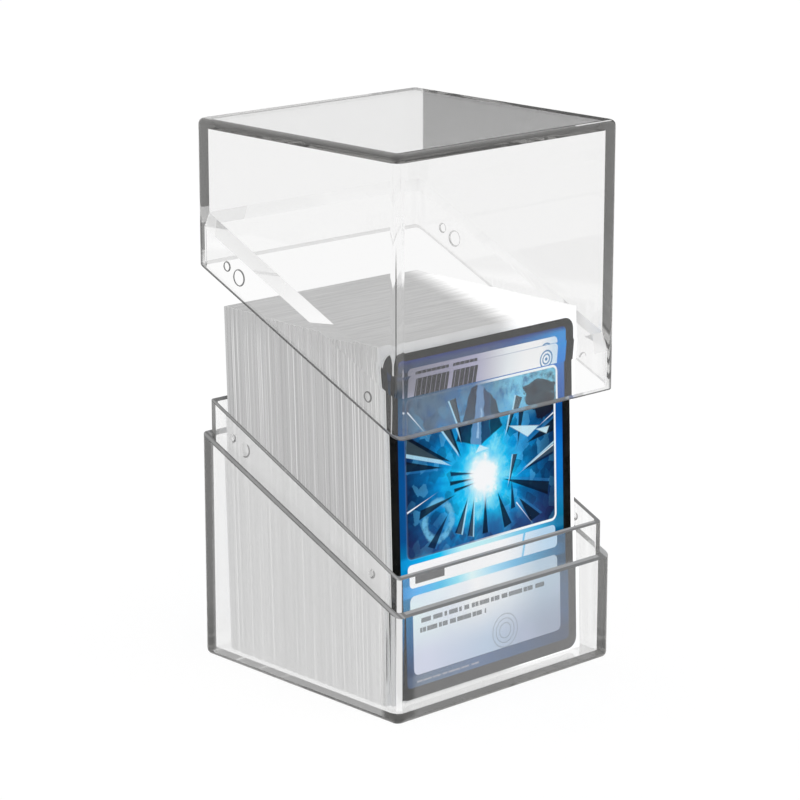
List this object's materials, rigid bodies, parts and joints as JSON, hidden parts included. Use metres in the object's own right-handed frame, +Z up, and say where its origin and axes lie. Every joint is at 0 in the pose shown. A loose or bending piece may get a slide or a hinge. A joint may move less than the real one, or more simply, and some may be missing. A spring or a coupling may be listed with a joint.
{
  "type": "card deck box",
  "caption": "Clear two-piece card box with a diagonal parting line: lift-off lid over a stepped lip, holding a deck of double-sleeved cards.",
  "frame": {"origin": "centre of the underside of the base", "axes": "+Z up, -Y is the low front of the base where the front card faces out, +X to the right when looking along +Y"},
  "size_m": [0.076, 0.0746, 0.1418],
  "materials": {
    "clear_case": "clear polished polystyrene",
    "printed_card": "glossy print, blue with a black border",
    "card_back": null,
    "card_stock": "coated card, white cut edges",
    "inner_sleeve": "thin clear film",
    "outer_sleeve": "thin clear film, grey at its cut and welded edges"
  },
  "bodies": {
    "base": {"base_shell": "clear_case"},
    "deck": {"front_card": "printed_card", "front_inner_sleeve": "inner_sleeve", "front_outer_sleeve": "outer_sleeve", "back_card": "card_back", "back_inner_sleeve": "inner_sleeve", "back_outer_sleeve": "outer_sleeve", "cards_01": "card_stock", "cards_02": "card_stock", "cards_03": "card_stock", "cards_04": "card_stock", "cards_05": "card_stock", "cards_06": "card_stock", "cards_07": "card_stock", "cards_08": "card_stock", "cards_09": "card_stock", "cards_10": "card_stock", "inner_sleeves_01": "inner_sleeve", "inner_sleeves_02": "inner_sleeve", "inner_sleeves_03": "inner_sleeve", "inner_sleeves_04": "inner_sleeve", "inner_sleeves_05": "inner_sleeve", "inner_sleeves_06": "inner_sleeve", "inner_sleeves_07": "inner_sleeve", "inner_sleeves_08": "inner_sleeve", "inner_sleeves_09": "inner_sleeve", "inner_sleeves_10": "inner_sleeve", "outer_sleeves_01": "outer_sleeve", "outer_sleeves_02": "outer_sleeve", "outer_sleeves_03": "outer_sleeve", "outer_sleeves_04": "outer_sleeve", "outer_sleeves_05": "outer_sleeve", "outer_sleeves_06": "outer_sleeve", "outer_sleeves_07": "outer_sleeve", "outer_sleeves_08": "outer_sleeve", "outer_sleeves_09": "outer_sleeve", "outer_sleeves_10": "outer_sleeve"},
    "lid": {"lid_shell": "clear_case"}
  },
  "joints": [
    {"name": "deck_lift", "type": "slide", "parent": "base", "child": "deck", "axis": [0, 0, 1], "range_m": [0, 0.07]},
    {"name": "lid_slide", "type": "slide", "parent": "deck", "child": "lid", "axis": [0, 0, 1], "range_m": [-0.0448, 0.0355]}
  ]
}
